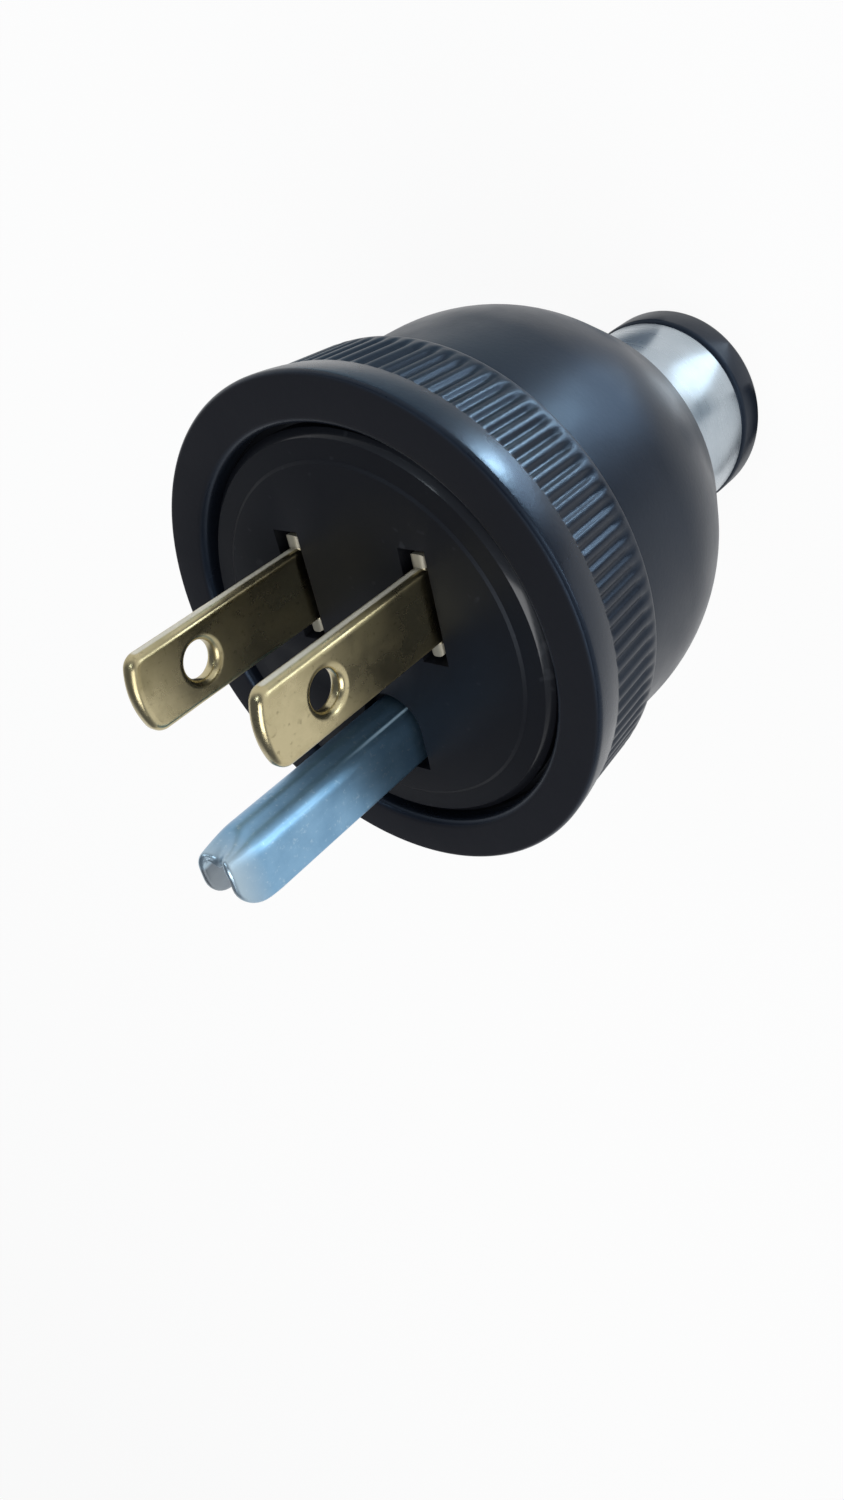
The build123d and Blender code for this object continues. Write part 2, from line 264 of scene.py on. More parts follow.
def relief(tree, shader, height, depth, strength):
    """Small ups and downs of the surface from a height."""
    bump = tree.nodes.new("ShaderNodeBump")
    bump.inputs["Strength"].default_value = strength
    bump.inputs["Distance"].default_value = depth
    tree.links.new(height, bump.inputs["Height"])
    tree.links.new(bump.outputs["Normal"], shader.inputs["Normal"])


def new_effect(name, roughness, layers):
    """A node group of clouds that several finishes share; each layer puts out a mask from 0 to 1."""
    group = bpy.data.node_groups.new(name, "ShaderNodeTree")
    group.interface.new_socket("Place", in_out="INPUT", socket_type="NodeSocketVector")
    group.interface.new_socket("Scale", in_out="INPUT", socket_type="NodeSocketFloat")
    group_in = group.nodes.new("NodeGroupInput")
    group_out = group.nodes.new("NodeGroupOutput")
    for layer, factor, detail, low, high in layers:
        group.interface.new_socket(layer, in_out="OUTPUT", socket_type="NodeSocketFloat")
        cloud = group.nodes.new("ShaderNodeTexNoise")
        cloud.inputs["Detail"].default_value = detail
        cloud.inputs["Roughness"].default_value = roughness
        group.links.new(group_in.outputs["Place"], cloud.inputs["Vector"])
        scale = arithmetic(group, "MULTIPLY", group_in.outputs["Scale"], factor)
        group.links.new(scale, cloud.inputs["Scale"])
        group.links.new(spread(group, cloud.outputs["Fac"], low, high, 0, 1), group_out.inputs[layer])
    return group


def place_effect(tree, group, place, scale):
    """The masks of an effect that is placed in a finish with its own scale."""
    effect = tree.nodes.new("ShaderNodeGroup")
    effect.node_tree = group
    tree.links.new(place, effect.inputs["Place"])
    effect.inputs["Scale"].default_value = scale
    return effect.outputs


# The skin of a moulding: a fine grain, slow clouds in its gloss, and a little dust.
# Each layer has its share of the scale, its detail, and the range of noise that it spreads.
moulded_skin = new_effect(
    "moulded_skin",
    roughness=0.55,
    layers=(
        ("Grain", 1.0, 3.0, 0.3, 0.7),
        ("Cloud", 0.06, 4.0, 0.36, 0.64),
        ("Dust", 0.55, 1.0, 0.70, 0.78),
    ),
)

rubber_dark = (0.0060, 0.0082, 0.0135)
rubber_cloudy = (0.0082, 0.0108, 0.0170)
rim_colour = (0.0095, 0.0083, 0.0092)
rim_face_start = rim_height - 0.14 * mm
rim_face_full = rim_height - 0.03 * mm
dome_roughness = 0.36
smooth_band_roughness = 0.27
rim_added_roughness = 0.40
cloud_added_roughness = (-0.04, 0.05)
gloss_start = band_front - 0.3 * mm
gloss_full = band_front + 0.3 * mm

cover_rubber, tree, shader, place = new_finish("cover_rubber")
skin = place_effect(tree, moulded_skin, place, scale=2600)
height = by_axis(tree, place)["Z"]
rim_face = spread(tree, height, rim_face_start, rim_face_full, 0, 1)
# The bluish black of the sides is partly the rubber's own colour and partly a painted cool sheen; the
# matte rim face keeps a neutral black.
rubber = tint(tree, skin["Cloud"], rubber_dark, rubber_cloudy)
tree.links.new(wash(tree, rim_face, rubber, rim_colour), shader.inputs["Base Color"])
# The smooth band is rubbed glossier than the dome, and the rim is matte
gloss = spread(tree, height, gloss_start, gloss_full, dome_roughness, smooth_band_roughness)
matte = arithmetic(tree, "MULTIPLY_ADD", rim_face, rim_added_roughness, gloss)
clouded = spread(tree, skin["Cloud"], 0, 1, *cloud_added_roughness)
tree.links.new(arithmetic(tree, "ADD", matte, clouded), shader.inputs["Roughness"])
shader.inputs["Specular IOR Level"].default_value = 0.27
# The blue specular tint is a painted cool sheen on the rubber's reflections.
shader.inputs["Specular Tint"].default_value = (0.50, 0.70, 1.0, 1)
relief(tree, shader, skin["Grain"], depth=0.02 * mm, strength=0.16)
add_piece("bell_cover", bell, cover_rubber, "cover", cover_crease)

# Neck ring: a plain sleeve of satin aluminium between the end flange and the dome.
# It is cut from tube, its edges are broken on the lathe, and it slides over the soft neck.
ring_wall = 0.8 * mm
ring_outer = ring_high.x
ring_inner = ring_outer - ring_wall
ring_edge = 0.2 * mm
ring_columns = 192
ring_crease = 40
ring_section = arc((ring_inner + ring_edge, ring_low.z + ring_edge), ring_edge, 180, 270, steps=3)
ring_section += arc((ring_outer - ring_edge, ring_low.z + ring_edge), ring_edge, 270, 360, steps=4)
ring_section += arc((ring_outer - ring_edge, ring_high.z - ring_edge), ring_edge, 0, 90, steps=4)
ring_section += arc((ring_inner + ring_edge, ring_high.z - ring_edge), ring_edge, 90, 180, steps=3)
sleeve = turned(ring_section, ring_columns)

# The skin of worked metal: fine lines along one direction, blotches of tarnish, and small pits
worked_metal = new_effect(
    "worked_metal",
    roughness=0.6,
    layers=(
        ("Lines", 1.0, 4.0, 0.32, 0.68),
        ("Blotches", 0.11, 5.0, 0.38, 0.66),
        ("Pits", 0.9, 2.0, 0.60, 0.72),
    ),
)


def drawn_out(tree, place, stretch):
    """Coordinates squeezed along one axis, so that a pattern runs out in lines along it."""
    mapping = tree.nodes.new("ShaderNodeMapping")
    mapping.inputs["Scale"].default_value = stretch
    tree.links.new(place, mapping.inputs["Vector"])
    return mapping.outputs["Vector"]


satin_clean = (0.44, 0.50, 0.55)
satin_tarnished = (0.38, 0.44, 0.49)
satin_roughness = (0.26, 0.32)
round_the_ring = (0.06, 0.06, 1.6)

ring_metal, tree, shader, place = new_finish("ring_metal")
lathe = place_effect(tree, worked_metal, drawn_out(tree, place, round_the_ring), scale=3000)
tarnish = place_effect(tree, worked_metal, place, scale=1800)
tree.links.new(tint(tree, tarnish["Blotches"], satin_clean, satin_tarnished), shader.inputs["Base Color"])
tree.links.new(spread(tree, lathe["Lines"], 0, 1, *satin_roughness), shader.inputs["Roughness"])
shader.inputs["Metallic"].default_value = 1.0
relief(tree, shader, lathe["Lines"], depth=0.006 * mm, strength=0.1)
add_piece("neck_sleeve", sleeve, ring_metal, "neck_ring", ring_crease)

# Core: the glossy black insulating block that carries the pins, moulded in hard plastic.
# It snaps in behind the cover's lip; the mould leaves a small round on each of its edges.
core_edge_round = 0.12 * mm
core_edge_angle = radians(25)
core_weld_distance = 1e-6
core_flat_angle = radians(1)
core_crease = 30
core_block = bmesh.new()
core_block.from_mesh(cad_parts["core"].data)
bmesh.ops.remove_doubles(core_block, verts=core_block.verts, dist=core_weld_distance)
bmesh.ops.dissolve_limit(
    core_block, angle_limit=core_flat_angle, verts=core_block.verts, edges=core_block.edges
)
bmesh.ops.bevel(
    core_block,
    geom=[edge for edge in core_block.edges if edge.calc_face_angle(0) > core_edge_angle],
    offset=core_edge_round,
    affect="EDGES",
    segments=3,
    profile=0.5,
    material=-1,
    clamp_overlap=True,
)

plastic_clean = (0.0072, 0.0076, 0.0100)
plastic_dusty = (0.018, 0.019, 0.023)
plastic_roughness = (0.38, 0.48)
polish_full = core_high.z - 0.21 * mm
polish_end = core_high.z - 0.19 * mm
polish_coat = 0.75

core_plastic, tree, shader, place = new_finish("core_plastic")
skin = place_effect(tree, moulded_skin, place, scale=1500)
tree.links.new(tint(tree, skin["Dust"], plastic_clean, plastic_dusty), shader.inputs["Base Color"])
tree.links.new(spread(tree, skin["Cloud"], 0, 1, *plastic_roughness), shader.inputs["Roughness"])
shader.inputs["Specular IOR Level"].default_value = 0.17
shader.inputs["Specular Tint"].default_value = (0.75, 0.86, 1.0, 1)
# The edge behind the face is left as bright as the mould's polish
polish = spread(tree, by_axis(tree, place)["Z"], polish_full, polish_end, polish_coat, 0)
tree.links.new(polish, shader.inputs["Coat Weight"])
shader.inputs["Coat Roughness"].default_value = 0.14
relief(tree, shader, skin["Grain"], depth=0.015 * mm, strength=0.12)
add_piece("core_block", core_block, core_plastic, "core", core_crease)

# Blades: two flat strips of lightly tarnished brass that enter the socket.
# Each is stamped flat with its shoulders and two holes, its edges are rolled round,
# and its tail is then bent square into the tab that takes the terminal screw.
blade_low, blade_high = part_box("neutral_blade")
blade_tip = blade_high.z
blade_line = (blade_low.y + blade_high.y) / 2
blade_thickness = 1.5 * mm
blade_middle = blade_low.x + blade_thickness / 2
blade_half = 3.175 * mm
blade_edge_round = 0.6 * mm
blade_crease = 35
tip_rise = 0.8 * mm
tip_corner = 1.3 * mm
contact_hole = 1.5 * mm
contact_hole_drop = 6.3 * mm
contact_hole_height = blade_tip - contact_hole_drop
shoulder_half = (blade_high.y - blade_low.y) / 2
shoulder_drop = 0.35 * mm
shoulder_top = core_high.z - shoulder_drop
shoulder_length = 2.0 * mm
shoulder_seat = shoulder_top - shoulder_length
core_thickness = 8.15 * mm
bend_inside = 0.6 * mm
bend_steps = 6
tab_corner = 1.5 * mm
screw_hole = 1.76 * mm
screw_reach = 4.3 * mm
hole_steps = 32
roll_steps = 6
roll_margin = 0.06 * mm
score_distance = 1e-8


def half_hole(middle, radius):
    """The right half of a round hole on a blank's middle line, from its lowest point to its highest."""
    return arc((0, middle), radius, -90, 90, hole_steps)


def stamped_blank(half_outline, thickness, edge_round):
    """A flat blank, stamped from half its outline, with its edges and holes rolled round on both faces."""
    bm = bmesh.new()
    bm.faces.new([bm.verts.new((across, along, 0)) for across, along in half_outline])
    bmesh.ops.mirror(bm, geom=bm.verts[:] + bm.edges[:] + bm.faces[:], axis="X", merge_dist=weld_distance)
    bmesh.ops.remove_doubles(bm, verts=bm.verts, dist=weld_distance)
    bmesh.ops.recalc_face_normals(bm, faces=bm.faces)
    if bm.faces[:][0].normal.z < 0:
        bmesh.ops.reverse_faces(bm, faces=bm.faces)
    sheet = bm.faces[:]
    raised = bmesh.ops.extrude_face_region(bm, geom=sheet)["geom"]
    top = [part for part in raised if isinstance(part, bmesh.types.BMFace)]
    corners = [part for part in raised if isinstance(part, bmesh.types.BMVert)]
    bmesh.ops.translate(bm, verts=corners, vec=(0, 0, thickness / 2 - edge_round))
    bmesh.ops.delete(bm, geom=[face for face in sheet if face.is_valid], context="FACES_ONLY")
    for i in range(roll_steps):
        before, after = radians(90 * i / roll_steps), radians(90 * (i + 1) / roll_steps)
        bmesh.ops.inset_region(
            bm,
            faces=top,
            thickness=edge_round * (cos(before) - cos(after)),
            depth=edge_round * (sin(after) - sin(before)),
            use_boundary=True,
            use_even_offset=True,
        )
    bmesh.ops.inset_region(bm, faces=top, thickness=roll_margin, use_boundary=True, use_even_offset=True)
    bmesh.ops.mirror(bm, geom=bm.verts[:] + bm.edges[:] + bm.faces[:], axis="Z", merge_dist=weld_distance)
    bmesh.ops.remove_doubles(bm, verts=bm.verts, dist=weld_distance)
    face_outwards(bm)
    return bm


def score(bm, axis, lines):
    """Cuts lines across a blank where it will be bent."""
    normal = Vector((axis == "across", axis == "along", 0))
    for line in lines:
        geometry = bm.verts[:] + bm.edges[:] + bm.faces[:]
        bmesh.ops.bisect_plane(
            bm, geom=geometry, dist=score_distance, plane_co=normal * line, plane_no=normal
        )


def bend_lines(start, end):
    """Places along a blank where its tail is scored for a square bend."""
    return [start + (end - start) * i / bend_steps for i in range(bend_steps + 1)]


tip_arc_radius = (blade_half**2 + tip_rise**2) / (2 * tip_rise)
tip_corner_across = blade_half - tip_corner
tip_corner_drop = tip_arc_radius - sqrt((tip_arc_radius - tip_corner) ** 2 - tip_corner_across**2)
tip_turn = degrees(acos(tip_corner_across / (tip_arc_radius - tip_corner)))
blade_bend = bend_inside + blade_thickness / 2
strip_foot = core_high.z - core_thickness + bend_inside
tab_start = strip_foot - blade_bend * pi / 2
tab_end = tab_start - (blade_high.x - blade_middle - blade_bend)
screw_place = tab_start - (screw_reach - bend_inside)

blade_outline = arc((0, blade_tip - tip_arc_radius), tip_arc_radius, 90, tip_turn, steps=6)
tip_corner_centre = (tip_corner_across, blade_tip - tip_corner_drop)
blade_outline += arc(tip_corner_centre, tip_corner, tip_turn, 0, steps=8)[1:]
blade_outline += [
    (blade_half, shoulder_top),
    (shoulder_half, shoulder_top),
    (shoulder_half, shoulder_seat),
    (blade_half, shoulder_seat),
]
blade_outline += arc((blade_half - tab_corner, tab_end + tab_corner), tab_corner, 0, -90, steps=6)
blade_outline += [(0, tab_end)]
blade_outline += half_hole(screw_place, screw_hole)
blade_outline += half_hole(contact_hole_height, contact_hole)

brass_clean = (0.51, 0.445, 0.27)
brass_tarnished = (0.405, 0.35, 0.20)
brass_pitted = (0.20, 0.17, 0.09)
brass_roughness = (0.22, 0.36)
pit_share = 0.45
along_the_blade = (1.0, 1.0, 0.10)
# The pale edge colour is a painted highlight.
painted_edge_highlight_colour = (0.74, 0.71, 0.60)
edge_highlight_start = blade_half - 0.03 * mm
edge_highlight_full = blade_half - 0.002 * mm
sheared_added_roughness = 0.15
edge_highlight_metallic = 0.4
# A dark painted shade for the blade at the slot.
slot_shade_colour = (0.22, 0.20, 0.15)
slot_shade_share = 0.8
slot_shade_full = core_high.z - 0.1 * mm
slot_shade_end = core_high.z + 0.4 * mm

blade_brass, tree, shader, place = new_finish("blade_brass")
rolled = place_effect(tree, worked_metal, drawn_out(tree, place, along_the_blade), scale=2600)
tarnish = place_effect(tree, worked_metal, place, scale=2200)
axes = by_axis(tree, place)
brass = tint(tree, tarnish["Blotches"], brass_clean, brass_tarnished)
brass = wash(tree, spread(tree, tarnish["Pits"], 0, 1, 0, pit_share), brass, brass_pitted)
# A thin pale line on the sheared edges is a painted highlight; the edges are also duller than the rolled
# faces
off_line = arithmetic(tree, "ABSOLUTE", arithmetic(tree, "SUBTRACT", axes["Y"], blade_line))
sheared_edge_and_highlight = spread(tree, off_line, edge_highlight_start, edge_highlight_full, 0, 1)
brass = wash(tree, sheared_edge_and_highlight, brass, painted_edge_highlight_colour)
# Painted shade darkens the blade and its shoulders where they go down into the slot
painted_slot_shade = spread(tree, axes["Z"], slot_shade_full, slot_shade_end, slot_shade_share, 0)
tree.links.new(wash(tree, painted_slot_shade, brass, slot_shade_colour), shader.inputs["Base Color"])
dull = spread(tree, tarnish["Blotches"], 0, 1, *brass_roughness)
dull = arithmetic(tree, "MULTIPLY_ADD", sheared_edge_and_highlight, sheared_added_roughness, dull)
tree.links.new(dull, shader.inputs["Roughness"])
tree.links.new(spread(tree, sheared_edge_and_highlight, 0, 1, 1.0, edge_highlight_metallic), shader.inputs["Metallic"])
relief(tree, shader, rolled["Lines"], depth=0.012 * mm, strength=0.25)

for side, name in ((1, "neutral_blade"), (-1, "live_blade")):
    blade = stamped_blank(blade_outline, blade_thickness, blade_edge_round)
    score(blade, "along", bend_lines(strip_foot, tab_start))
    for vert in blade.verts:
        across, along, through = vert.co
        reach = blade_bend - through
        turn = min(max(0.0, strip_foot - along) / blade_bend, pi / 2)
        out = blade_middle + blade_bend - reach * cos(turn) + max(0.0, tab_start - along)
        rise = max(along, strip_foot) - reach * sin(turn)
        vert.co = (side * out, blade_line + across, rise)
    face_outwards(blade)
    add_piece(f"{name}_strip", blade, blade_brass, name, blade_crease)

# Ground pin: zinc-plated sheet folded to a U, its closed side towards the blades.
# The blank is stamped with rounded ends and a notch between them, folded round a former,
# drawn in at the nose, and its narrow tail is bent under into the terminal tab.
pin_low, pin_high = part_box("ground_pin")
pin_tip = pin_high.z
pin_crest = pin_high.y
pin_width = 4.8 * mm
pin_depth = 5.6 * mm
pin_sheet = 0.8 * mm
pin_edge_round = 0.3 * mm
pin_crease = 40
nose_length = 3.6 * mm
nose_width = 3.7 * mm
nose_drop = 0.35 * mm
nose_curve = 1.5
nose_notch = 0.5 * mm
nose_notch_half = 2.6 * mm
nose_dent = 1.3 * mm
nose_dent_half = radians(26)
nose_steps = 8
fold_step = 6
leg_end_round = 2.4 * mm
pin_tail_half = 1.6 * mm
pin_tab_half = 3.1 * mm
pin_screw_reach = 6.4 * mm

pin_fold = (pin_width - pin_sheet) / 2
pin_axis = pin_crest - pin_width / 2
pin_half_blank = pin_fold * pi / 2 + pin_depth - pin_width / 2
pin_bend = bend_inside + pin_sheet / 2
pin_bend_centre = pin_crest - pin_sheet - bend_inside
pin_tab_start = strip_foot - pin_bend * pi / 2
pin_tab_end = pin_tab_start - (pin_bend_centre - pin_low.y)
pin_tab_shoulder = pin_tab_end + 2 * pin_tab_half
pin_screw_place = pin_tab_start - (pin_screw_reach - pin_sheet - bend_inside)
nose_foot = pin_tip - nose_length

pin_outline = [
    (nose_notch_half * i / nose_steps, pin_tip - nose_notch * cos(pi / 2 * i / nose_steps) ** 2)
    for i in range(nose_steps + 1)
]
leg_end_centre = (pin_half_blank - leg_end_round, pin_tip - leg_end_round)
pin_outline += arc(leg_end_centre, leg_end_round, 90, 0, steps=10)
pin_outline += [
    (pin_half_blank, strip_foot),
    (pin_tail_half, strip_foot),
    (pin_tail_half, pin_tab_shoulder),
]
tab_corner_across = pin_tab_half - tab_corner
pin_outline += arc((tab_corner_across, pin_tab_shoulder - tab_corner), tab_corner, 90, 0, steps=6)[1:]
pin_outline += arc((tab_corner_across, pin_tab_end + tab_corner), tab_corner, 0, -90, steps=6)
pin_outline += [(0, pin_tab_end)]
pin_outline += half_hole(pin_screw_place, screw_hole)

pin = stamped_blank(pin_outline, pin_sheet, pin_edge_round)
score(pin, "across", [pin_fold * radians(angle) for angle in range(-90, 91, fold_step)])
score(pin, "along", [pin_tip - nose_length * i / nose_steps for i in range(1, nose_steps + 1)])
score(pin, "along", bend_lines(strip_foot, pin_tab_start))
for vert in pin.verts:
    across, along, through = vert.co
    fold = max(-pi / 2, min(pi / 2, across / pin_fold))
    leg = max(0.0, abs(across) - pin_fold * pi / 2)
    wide = (pin_fold + through) * sin(fold)
    high = pin_axis + (pin_fold + through) * cos(fold) - leg
    # The nose is drawn in on both sides and from the crest
    drawn = max(0.0, (along - nose_foot) / nose_length) ** nose_curve
    wide *= 1 - drawn * (1 - nose_width / pin_width)
    high -= drawn * nose_drop * max(0.0, cos(fold))
    # A dent between the two legs runs out behind the nose
    high -= drawn * nose_dent * exp(-((fold / nose_dent_half) ** 2))
    # The tail flattens as it bends
    run = max(0.0, strip_foot - along)
    flat = min(1.0, run / (strip_foot - pin_tab_start))
    wide += flat * (across - wide)
    high += flat * (pin_axis + pin_fold + through - high)
    rise = along
    if run > 0:
        turn = min(run / pin_bend, pi / 2)
        reach = high - pin_bend_centre
        high = pin_bend_centre + reach * cos(turn) - max(0.0, pin_tab_start - along)
        rise = strip_foot - reach * sin(turn)
    vert.co = (wide, high, rise)
face_outwards(pin)

plating_clean = (0.23, 0.41, 0.59)
plating_tarnished = (0.18, 0.34, 0.51)
plating_roughness = (0.29, 0.38)
plating_metallic = 0.95
along_the_pin = (1.0, 1.0, 0.03)
frost_colour = (0.42, 0.58, 0.70)
frost_share = 0.5
worn_colour = (0.46, 0.56, 0.62)
worn_share = 0.75
worn_start = pin_tip - 2.8 * mm
worn_full = pin_tip - 0.4 * mm
# A grey painted shade for the inside of the fold.
fold_shade_colour = (0.24, 0.26, 0.28)
fold_shade_share = 0.85
fold_shade_half = 1.5 * mm
fold_shade_end = 1.7 * mm
fold_shade_top = pin_axis + 0.3 * mm
# A pale blue painted highlight along the crest.
painted_streak_colour = (0.45, 0.65, 0.80)
painted_streak_metallic = 0.35
streak_off_middle = 1.62 * mm
streak_half = 0.03 * mm
streak_end_half = 0.12 * mm
streak_low_side = pin_axis + 0.6 * mm
streak_full_side = pin_axis + 0.8 * mm
streak_fade = core_high.z + 3 * mm
streak_end = core_high.z + 8 * mm

pin_plate, tree, shader, place = new_finish("pin_plate")
drawn_lines = place_effect(tree, worked_metal, drawn_out(tree, place, along_the_pin), scale=6000)
tarnish = place_effect(tree, worked_metal, place, scale=3000)
axes = by_axis(tree, place)
off_middle = arithmetic(tree, "ABSOLUTE", axes["X"])
plating = tint(tree, tarnish["Blotches"], plating_clean, plating_tarnished)
plating = wash(tree, spread(tree, tarnish["Pits"], 0, 1, 0, frost_share), plating, frost_colour)
# The nose is worn bright by the socket
worn = spread(tree, axes["Z"], worn_start, worn_full, 0, worn_share)
plating = wash(tree, worn, plating, worn_colour)
# Painted shade: the inner faces of the fold's legs are washed a dull grey
painted_fold_shade = arithmetic(
    tree,
    "MULTIPLY",
    spread(tree, off_middle, fold_shade_half, fold_shade_end, fold_shade_share, 0),
    spread(tree, axes["Y"], pin_axis, fold_shade_top, 1, 0),
)
plating = wash(tree, painted_fold_shade, plating, fold_shade_colour)
# A painted highlight: a thin pale line along each side of the crest, next to the core
off_streak = arithmetic(tree, "ABSOLUTE", arithmetic(tree, "SUBTRACT", off_middle, streak_off_middle))
painted_crest_streak = arithmetic(
    tree,
    "MULTIPLY",
    spread(tree, off_streak, streak_half, streak_end_half, 1, 0),
    spread(tree, axes["Y"], streak_low_side, streak_full_side, 0, 1),
)
painted_crest_streak = arithmetic(tree, "MULTIPLY", painted_crest_streak, spread(tree, axes["Z"], streak_fade, streak_end, 1, 0))
tree.links.new(wash(tree, painted_crest_streak, plating, painted_streak_colour), shader.inputs["Base Color"])
tree.links.new(spread(tree, drawn_lines["Lines"], 0, 1, *plating_roughness), shader.inputs["Roughness"])
tree.links.new(spread(tree, painted_crest_streak, 0, 1, plating_metallic, painted_streak_metallic), shader.inputs["Metallic"])
relief(tree, shader, drawn_lines["Lines"], depth=0.004 * mm, strength=0.10)
add_piece("folded_ground_pin", pin, pin_plate, "ground_pin", pin_crease)

# Terminal screws and wire washers: turned screws with slotted binding heads behind the core.
# The live one is brass, the neutral one nickel plated and the ground one coated green;
# each clamps its conductor under a stamped zinc washer. Their solids stay as they are.
scuff_added_roughness = 0.12
bright_brass = dict(clean=(0.60, 0.44, 0.17), dull=(0.42, 0.30, 0.11), roughness=0.30, metallic=1.0)
nickel = dict(clean=(0.62, 0.61, 0.58), dull=(0.45, 0.45, 0.44), roughness=0.26, metallic=1.0)
green_coat = dict(clean=(0.020, 0.17, 0.055), dull=(0.012, 0.11, 0.035), roughness=0.38, metallic=0.0)
zinc = dict(clean=(0.52, 0.54, 0.56), dull=(0.38, 0.40, 0.43), roughness=0.36, metallic=1.0)
for node, coat in (
    ("live_screw", bright_brass),
    ("neutral_screw", nickel),
    ("ground_screw", green_coat),
    ("live_washer", zinc),
    ("neutral_washer", zinc),
    ("ground_washer", zinc),
):
    terminal_metal, tree, shader, place = new_finish(f"{node}_finish")
    tarnish = place_effect(tree, worked_metal, place, scale=2600)
    metal = tint(tree, tarnish["Blotches"], coat["clean"], coat["dull"])
    tree.links.new(metal, shader.inputs["Base Color"])
    scuffed = coat["roughness"] + scuff_added_roughness
    scuffs = spread(tree, tarnish["Lines"], 0, 1, coat["roughness"], scuffed)
    tree.links.new(scuffs, shader.inputs["Roughness"])
    shader.inputs["Metallic"].default_value = coat["metallic"]
    relief(tree, shader, tarnish["Lines"], depth=0.01 * mm, strength=0.15)
    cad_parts[node].material_slots[0].material = terminal_metal

# Floor: a wide sheet of plain white paper that the plug stands on, neck down.
# It shows white to the camera and in the metal, and keeps a soft shadow.
paper_reach = 8.0
paper_drop = 0.05 * mm
paper_white = (0.92, 0.92, 0.92, 1)
paper_glow_share = 0.93
paper = bmesh.new()
bmesh.ops.create_grid(paper, x_segments=8, y_segments=8, size=paper_reach)
bmesh.ops.translate(paper, verts=paper.verts, vec=(0, 0, -paper_drop))
floor_mesh = bpy.data.meshes.new("paper_floor")
paper.to_mesh(floor_mesh)
paper.free()
floor = bpy.data.objects.new("paper_floor", floor_mesh)
bpy.context.scene.collection.objects.link(floor)

white_paper = bpy.data.materials.new("white_paper")
white_paper.use_nodes = True
tree = white_paper.node_tree
tree.nodes.clear()
diffuse = tree.nodes.new("ShaderNodeBsdfDiffuse")
diffuse.inputs["Color"].default_value = paper_white
glow = tree.nodes.new("ShaderNodeEmission")
glow.inputs["Strength"].default_value = 1.0
path = tree.nodes.new("ShaderNodeLightPath").outputs
seen = arithmetic(tree, "MAXIMUM", path["Is Camera Ray"], path["Is Glossy Ray"])
seen = arithmetic(tree, "MAXIMUM", seen, path["Is Transmission Ray"])
paper_mix = tree.nodes.new("ShaderNodeMixShader")
tree.links.new(arithmetic(tree, "MULTIPLY", seen, paper_glow_share), paper_mix.inputs["Fac"])
tree.links.new(diffuse.outputs["BSDF"], paper_mix.inputs[1])
tree.links.new(glow.outputs["Emission"], paper_mix.inputs[2])
paper_out = tree.nodes.new("ShaderNodeOutputMaterial")
tree.links.new(paper_mix.outputs["Shader"], paper_out.inputs["Surface"])
floor_mesh.materials.append(white_paper)

# Light: a pale studio that darkens overhead, with one large soft box above and behind the camera.
# A panel to the side picks out the front edges, and small cool panels low beside the plug
# light the dome, the flared band, the ring and the ground pin.
wall_light = (1.0, 1.0, 1.0)
ceiling_light = (0.13, 0.14, 0.16)
ceiling_start = 0.20
ceiling_full = 0.52
studio = bpy.data.worlds.new("studio")
bpy.context.scene.world = studio
studio.use_nodes = True
tree = studio.node_tree
direction = tree.nodes.new("ShaderNodeTexCoord").outputs["Generated"]
ceiling = spread(tree, by_axis(tree, direction)["Z"], ceiling_start, ceiling_full, 0, 1)
background = tree.nodes["Background"]
tree.links.new(tint(tree, ceiling, wall_light, ceiling_light), background.inputs["Color"])
background.inputs["Strength"].default_value = 1.0


def add_panel(name, place, aim, size, colour, radiance, beam=pi):
    """A flat rectangular lamp of the given radiance, turned towards its aim and hidden from the camera."""
    lamp = bpy.data.lights.new(name, "AREA")
    lamp.shape = "RECTANGLE"
    lamp.size, lamp.size_y = size
    lamp.color = colour
    lamp.spread = beam
    lamp.energy = radiance * pi * size[0] * size[1]
    panel = bpy.data.objects.new(name, lamp)
    panel.location = place
    panel.rotation_euler = (Vector(aim) - Vector(place)).to_track_quat("-Z", "Y").to_euler()
    panel.visible_camera = False
    bpy.context.scene.collection.objects.link(panel)


white = (1.0, 1.0, 1.0)
daylight = (0.85, 0.95, 1.0)
add_panel(
    "soft_box",
    (0.36, -0.10, 0.70),
    (0, 0, 0.03),
    size=(0.50, 0.50),
    colour=white,
    radiance=4.2,
)
add_panel(
    "edge_light",
    (-0.052, 0.265, 0.372),
    (0, 0, 0.05),
    size=(0.22, 0.03),
    colour=daylight,
    radiance=12.0,
)
add_panel(
    "dome_panel",
    (0.028, 0.038, 0.0005),
    (0.028, 0.038, 1.0),
    size=(0.028, 0.026),
    colour=(0.50, 0.74, 1.0),
    radiance=4.2,
)
add_panel(
    "band_panel",
    (0.0263, 0.0432, 0.003),
    (0.0145, 0.0155, 0.050),
    size=(0.011, 0.011),
    colour=(0.60, 0.85, 1.0),
    radiance=0.5,
    beam=radians(16),
)
add_panel(
    "ring_panel",
    (0.0105, 0.0105, 0.0004),
    (0.0105, 0.0105, 1.0),
    size=(0.007, 0.007),
    colour=(0.75, 0.9, 1.0),
    radiance=1.6,
)
add_panel(
    "pin_panel",
    (0.118, 0.028, 0.002),
    (0, -0.008, 0.065),
    size=(0.052, 0.034),
    colour=daylight,
    radiance=5.5,
)
add_panel(
    "nose_panel",
    (0.131, 0.064, 0.038),
    (0, -0.010, 0.070),
    size=(0.030, 0.020),
    colour=daylight,
    radiance=3.8,
)
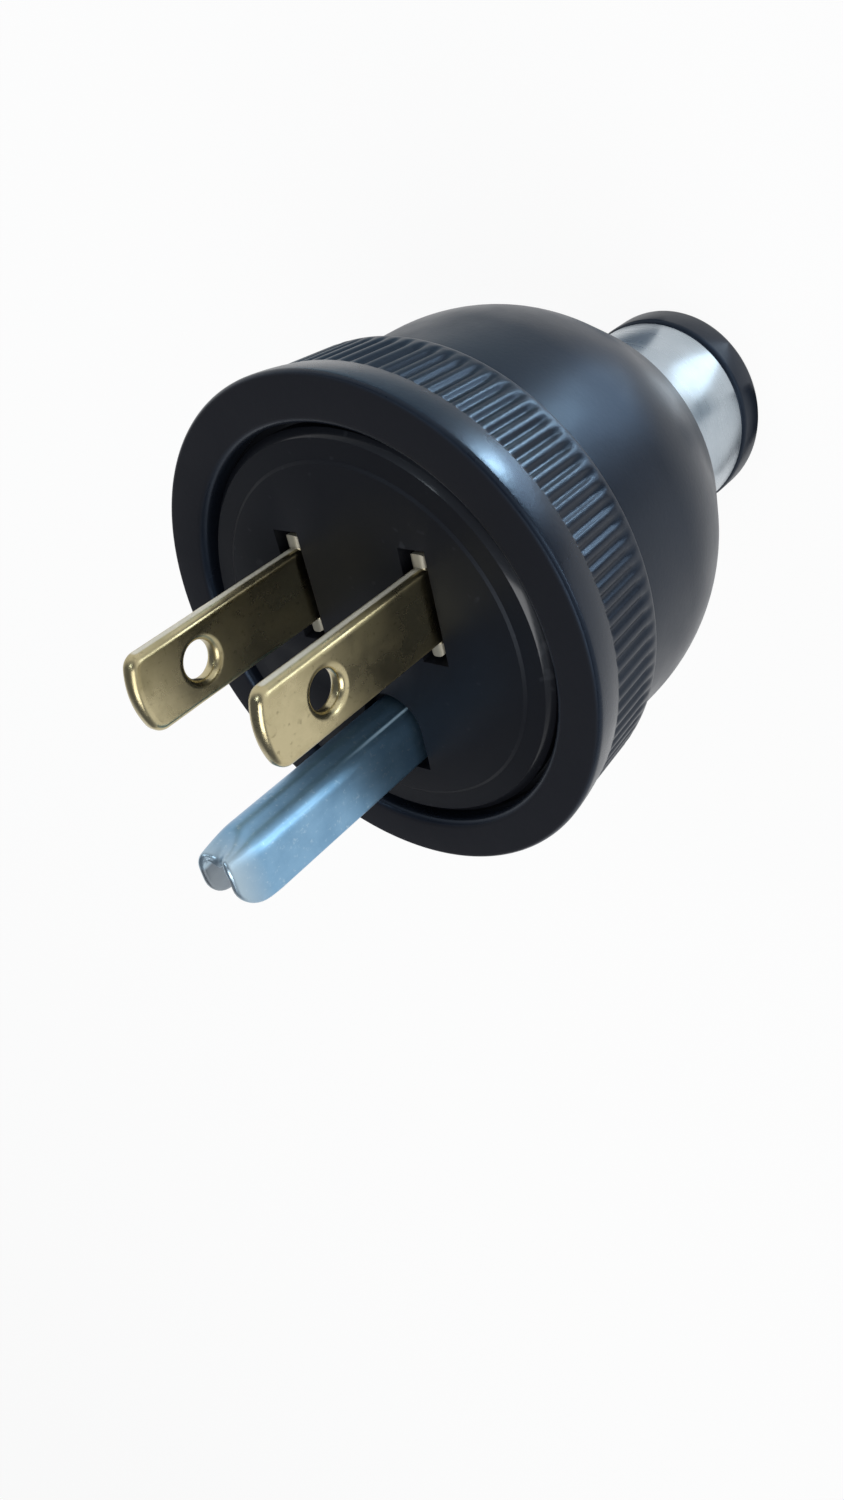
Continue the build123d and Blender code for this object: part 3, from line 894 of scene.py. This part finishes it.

# Cards: sheets on the floor beside the plug that only the reflections see, so they are painted
# reflections.
# The dark ones put painted shade, and the pale blue one painted cool light, into the dome, the ribs, the
# pin, the ring and the end flange.
# Their places and sizes are in millimetres.
card_height = 0.25
for name, centre, size, colour in (
    ("dome_shade_card", (57.5, 28.5), (35.0, 31.0), (0.10, 0.13, 0.18)),
    ("pin_shade_card", (72.5, 75.0), (45.0, 62.0), (0.50, 0.57, 0.63)),
    ("cool_reflection_card", (-23.5, 75.0), (73.0, 70.0), (0.58, 0.82, 1.0)),
    ("ring_end_shade_card", (-4.0, 13.5), (8.0, 5.0), (0.16, 0.24, 0.34)),
    ("ring_side_shade_card", (16.5, 5.5), (6.0, 4.5), (0.42, 0.48, 0.53)),
    ("flange_shade_card", (10.2, -2.8), (1.2, 12.0), (0.04, 0.05, 0.07)),
):
    card = bmesh.new()
    bmesh.ops.create_grid(card, x_segments=1, y_segments=1, size=0.5 * mm)
    bmesh.ops.scale(card, verts=card.verts, vec=(*size, 1.0))
    bmesh.ops.translate(card, verts=card.verts, vec=Vector((*centre, card_height)) * mm)
    card_mesh = bpy.data.meshes.new(name)
    card.to_mesh(card_mesh)
    card.free()
    card_sheet = bpy.data.objects.new(name, card_mesh)
    bpy.context.scene.collection.objects.link(card_sheet)
    for ray in ("camera", "diffuse", "transmission", "shadow"):
        setattr(card_sheet, f"visible_{ray}", False)
    reflection_card_finish = bpy.data.materials.new(f"{name}_paper")
    reflection_card_finish.use_nodes = True
    card_shader = reflection_card_finish.node_tree.nodes["Principled BSDF"]
    card_shader.inputs["Base Color"].default_value = (*colour, 1)
    card_shader.inputs["Roughness"].default_value = 0.9
    card_mesh.materials.append(reflection_card_finish)

# Camera: close to the pins, looking down past them over the rim to the neck.
# Its shift keeps the plug where the photograph frames it.
view_place = Vector((62.94, 44.10, 110.81)) * mm
view_aim = Vector((10.05, -16.67, 51.56)) * mm
view_roll = radians(-136.06)
camera_data = bpy.data.cameras.new("camera")
camera_data.sensor_width = 36
camera_data.lens = 28.8
camera_data.shift_x = -0.0538
camera_data.shift_y = 0.0592
camera_data.clip_start = 1 * mm
camera = bpy.data.objects.new("camera", camera_data)
bpy.context.scene.collection.objects.link(camera)
view_turn = (view_aim - view_place).to_track_quat("-Z", "Y").to_matrix().to_4x4()
view_turn = view_turn @ Matrix.Rotation(view_roll, 4, "Z")
camera.matrix_world = Matrix.Translation(view_place) @ view_turn
bpy.context.scene.camera = camera
bpy.context.scene.view_settings.view_transform = "Standard"
